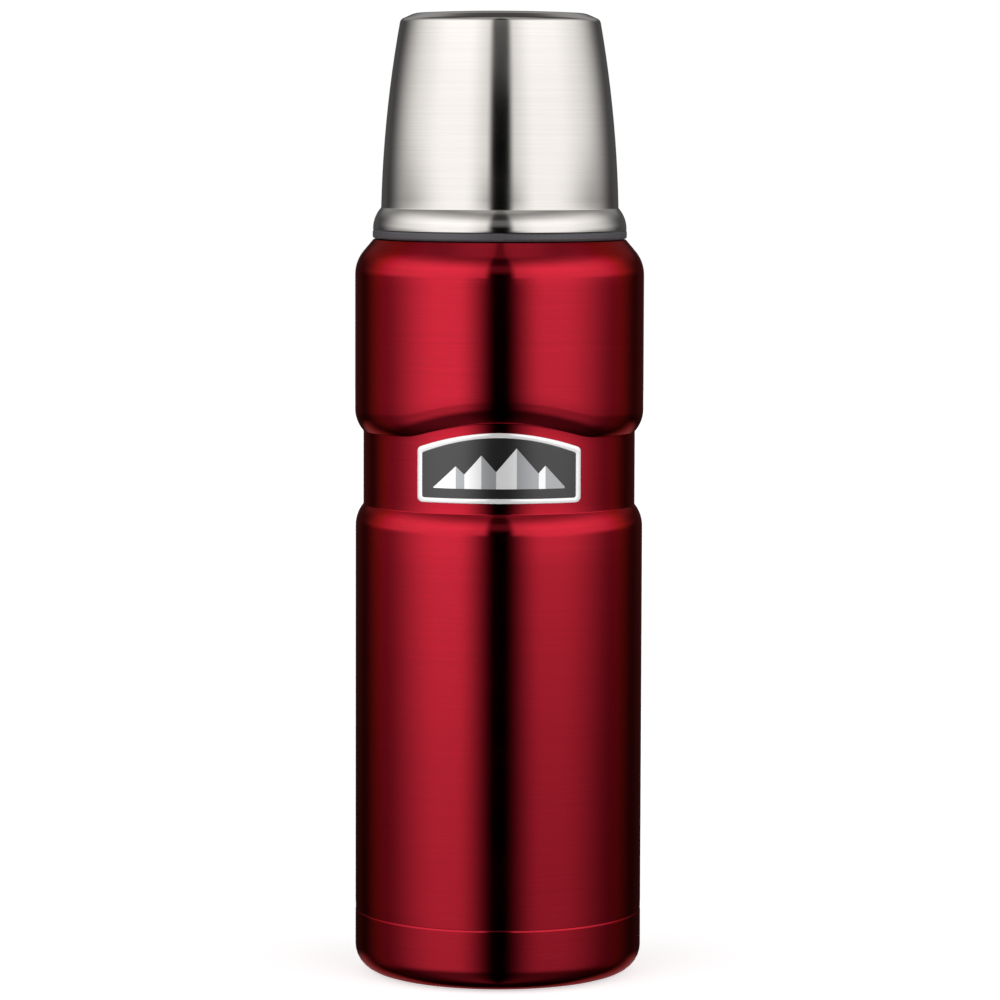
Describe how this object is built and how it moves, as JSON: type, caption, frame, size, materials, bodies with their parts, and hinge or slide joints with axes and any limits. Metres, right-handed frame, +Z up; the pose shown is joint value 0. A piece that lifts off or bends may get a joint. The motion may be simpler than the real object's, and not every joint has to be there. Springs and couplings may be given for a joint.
{
  "type": "insulated water bottle",
  "caption": "Vacuum-insulated steel drinking bottle with a waisted barrel, an arched badge, a twist-to-pour stopper and a tapered screw-on cup.",
  "frame": {"origin": "centre of the foot, on the plane the bottle stands on", "axes": "+Z up along the bottle's axis, the badge faces -Y, +X to the right seen from the badge's side"},
  "size_m": [0.0738, 0.0738, 0.2464],
  "materials": {
    "body_lacquer": "transparent red lacquer over brushed steel",
    "base_lacquer": "transparent red lacquer over brushed steel",
    "base_steel": "satin",
    "sealing_glass": "fused glass bead",
    "liner_steel": "electropolished satin",
    "liner_mouth_steel": "electropolished satin",
    "liner_bottom_steel": "electropolished satin",
    "foil": "bright foil",
    "getter_pellet": "sintered grey powder",
    "clip_steel": "satin",
    "badge_border": "white enamel",
    "badge_enamel": "dark grey gloss enamel",
    "emblem_enamel": "white enamel",
    "seal_silicone": "moulded silicone",
    "stopper_plastic": "fine moulded texture",
    "nose_plastic": "fine moulded texture",
    "foam": "closed-cell foam",
    "cap_plastic": "fine moulded texture",
    "gasket_silicone": "moulded silicone",
    "cup_gasket_silicone": "moulded silicone",
    "insert_plastic": "fine moulded texture",
    "cup_steel": "polished with fine satin lines"
  },
  "bodies": {
    "bottle": {"outer_shell": "body_lacquer", "shell_base": "base_lacquer", "base_disc": "base_steel", "vacuum_plug": "sealing_glass", "inner_liner": "liner_steel", "liner_mouth": "liner_mouth_steel", "liner_bottom": "liner_bottom_steel", "radiation_foil": "foil", "getter": "getter_pellet", "getter_clip": "clip_steel", "badge_plate": "badge_border", "badge_face": "badge_enamel", "badge_emblem": "emblem_enamel"},
    "stopper_ring": {"stopper_seal": "seal_silicone"},
    "stopper": {"stopper_body": "stopper_plastic", "stopper_base": "nose_plastic", "stopper_foam": "foam", "stopper_cap": "cap_plastic", "stopper_gasket": "gasket_silicone"},
    "cup_ring": {"cup_gasket": "cup_gasket_silicone"},
    "cup": {"cup_liner": "insert_plastic", "cup_shell": "cup_steel"}
  },
  "joints": [
    {"name": "stopper_lift", "type": "slide", "parent": "bottle", "child": "stopper_ring", "axis": [0, 0, 1], "range_m": [0, 0.0352]},
    {"name": "stopper_turn", "type": "hinge", "parent": "stopper_ring", "child": "stopper", "pos_m": [0, 0, 0.19], "axis": [0, 0, 1], "range_deg": [0, 1260]},
    {"name": "cup_lift", "type": "slide", "parent": "stopper", "child": "cup_ring", "axis": [0, 0, 1], "range_m": [0, 0.0402]},
    {"name": "cup_turn", "type": "hinge", "parent": "cup_ring", "child": "cup", "pos_m": [0, 0, 0.205], "axis": [0, 0, 1], "range_deg": [0, 1440]}
  ],
  "couplings": [
    {"joint": "stopper_lift", "follows": "stopper_turn", "m_per_rad": 0.0015915},
    {"joint": "cup_lift", "follows": "cup_turn", "m_per_rad": 0.0015915}
  ]
}
